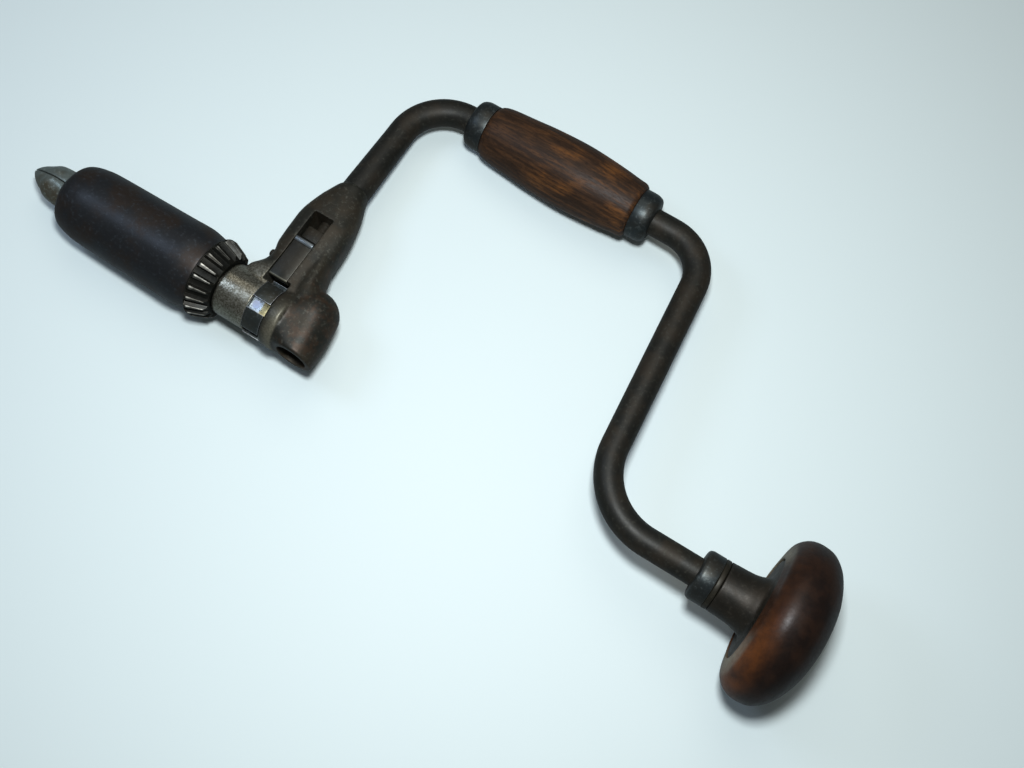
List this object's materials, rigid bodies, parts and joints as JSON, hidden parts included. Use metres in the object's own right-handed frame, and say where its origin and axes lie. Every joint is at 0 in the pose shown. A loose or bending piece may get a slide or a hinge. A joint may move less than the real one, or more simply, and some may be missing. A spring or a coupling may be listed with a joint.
{
  "type": "bit brace",
  "caption": "Old ratchet bit brace: a bent steel crank with a turned wooden grip and pad, a screw chuck with two jaws, and a bevel ring and socket for a side crank.",
  "frame": {"origin": "the tips of the closed jaws, on the spindle's axis", "axes": "+X along the spindle from the jaws to the pad, +Y from the spindle to the grip, +Z square to the crank's plane"},
  "size_m": [0.3862, 0.1773, 0.0694],
  "materials": {
    "forged_steel": "forged steel with a smooth brown-black patina",
    "turned_steel": "turned steel, dulled with age",
    "blued_steel": "dark blued steel with bright worn edges",
    "black_iron": "black iron with bright worn tooth edges",
    "dark_shell_steel": "dark brown matte patina with a soft sheen",
    "jaw_steel": "grey steel with brown stains",
    "spring_steel": "drawn spring wire",
    "collar_steel": "dark blue-grey steel",
    "washer_brass": "brown tarnished brass",
    "grip_wood": "dark oiled hardwood with orange-brown worn patches",
    "pad_wood": "dark polished hardwood, worn orange-brown near the flange"
  },
  "bodies": {
    "frame": {"crank_frame": "forged_steel", "pawl_pin": "turned_steel", "pawl_spring": "spring_steel", "grip_collar_front": "collar_steel", "grip_collar_rear": "collar_steel", "pad_collar": "forged_steel", "pad_thrust_washer": "washer_brass", "pad_nut_washer": "turned_steel", "pad_nut": "turned_steel"},
    "spindle": {"spindle": "turned_steel", "ratchet_wheel": "blued_steel", "ratchet_pin": "turned_steel", "bevel_ring": "black_iron"},
    "pawl": {"pawl": "blued_steel"},
    "pawl_plunger": {"pawl_plunger": "turned_steel"},
    "jaw_spring": {"jaw_spring": "spring_steel"},
    "chuck_shell": {"chuck_shell": "dark_shell_steel"},
    "jaw_upper": {"jaw_upper": "jaw_steel"},
    "jaw_lower": {"jaw_lower": "jaw_steel"},
    "grip": {"grip": "grip_wood"},
    "pad": {"pad": "pad_wood", "pad_quill": "forged_steel", "pad_screws": "turned_steel"}
  },
  "joints": [
    {"name": "spindle_turn", "type": "hinge", "parent": "frame", "child": "spindle", "pos_m": [0.11, 0, 0], "axis": [1, 0, 0], "continuous": true},
    {"name": "pawl_tilt", "type": "hinge", "parent": "frame", "child": "pawl", "pos_m": [0.12125, 0.0235, 0], "axis": [1, 0, 0], "range_deg": [-7, 7]},
    {"name": "plunger_press", "type": "slide", "parent": "frame", "child": "pawl_plunger", "axis": [0, 1, 0], "range_m": [0, 0.001], "stiffness_N_per_m": 400, "deforming": ["pawl_spring"]},
    {"name": "chuck_feed", "type": "slide", "parent": "spindle", "child": "jaw_spring", "axis": [-1, 0, 0], "range_m": [0, 0.008]},
    {"name": "shell_turn", "type": "hinge", "parent": "jaw_spring", "child": "chuck_shell", "pos_m": [0.05, 0, 0], "axis": [-1, 0, 0], "range_deg": [0, 1440]},
    {"name": "jaw_upper_open", "type": "hinge", "parent": "spindle", "child": "jaw_upper", "pos_m": [0.045, 0.005, 0], "axis": [0, 0, -1], "range_deg": [0, 1.2]},
    {"name": "jaw_lower_open", "type": "hinge", "parent": "spindle", "child": "jaw_lower", "pos_m": [0.045, -0.005, 0], "axis": [0, 0, 1], "range_deg": [0, 1.2]},
    {"name": "grip_spin", "type": "hinge", "parent": "frame", "child": "grip", "pos_m": [0.193, 0.127, 0], "axis": [1, 0, 0], "continuous": true},
    {"name": "pad_spin", "type": "hinge", "parent": "frame", "child": "pad", "pos_m": [0.35, 0, 0], "axis": [1, 0, 0], "continuous": true}
  ],
  "couplings": [
    {"joint": "chuck_feed", "follows": "shell_turn", "m_per_rad": 0.00031831},
    {"joint": "jaw_upper_open", "follows": "shell_turn", "ratio": 0.00083333},
    {"joint": "jaw_lower_open", "follows": "shell_turn", "ratio": 0.00083333}
  ]
}
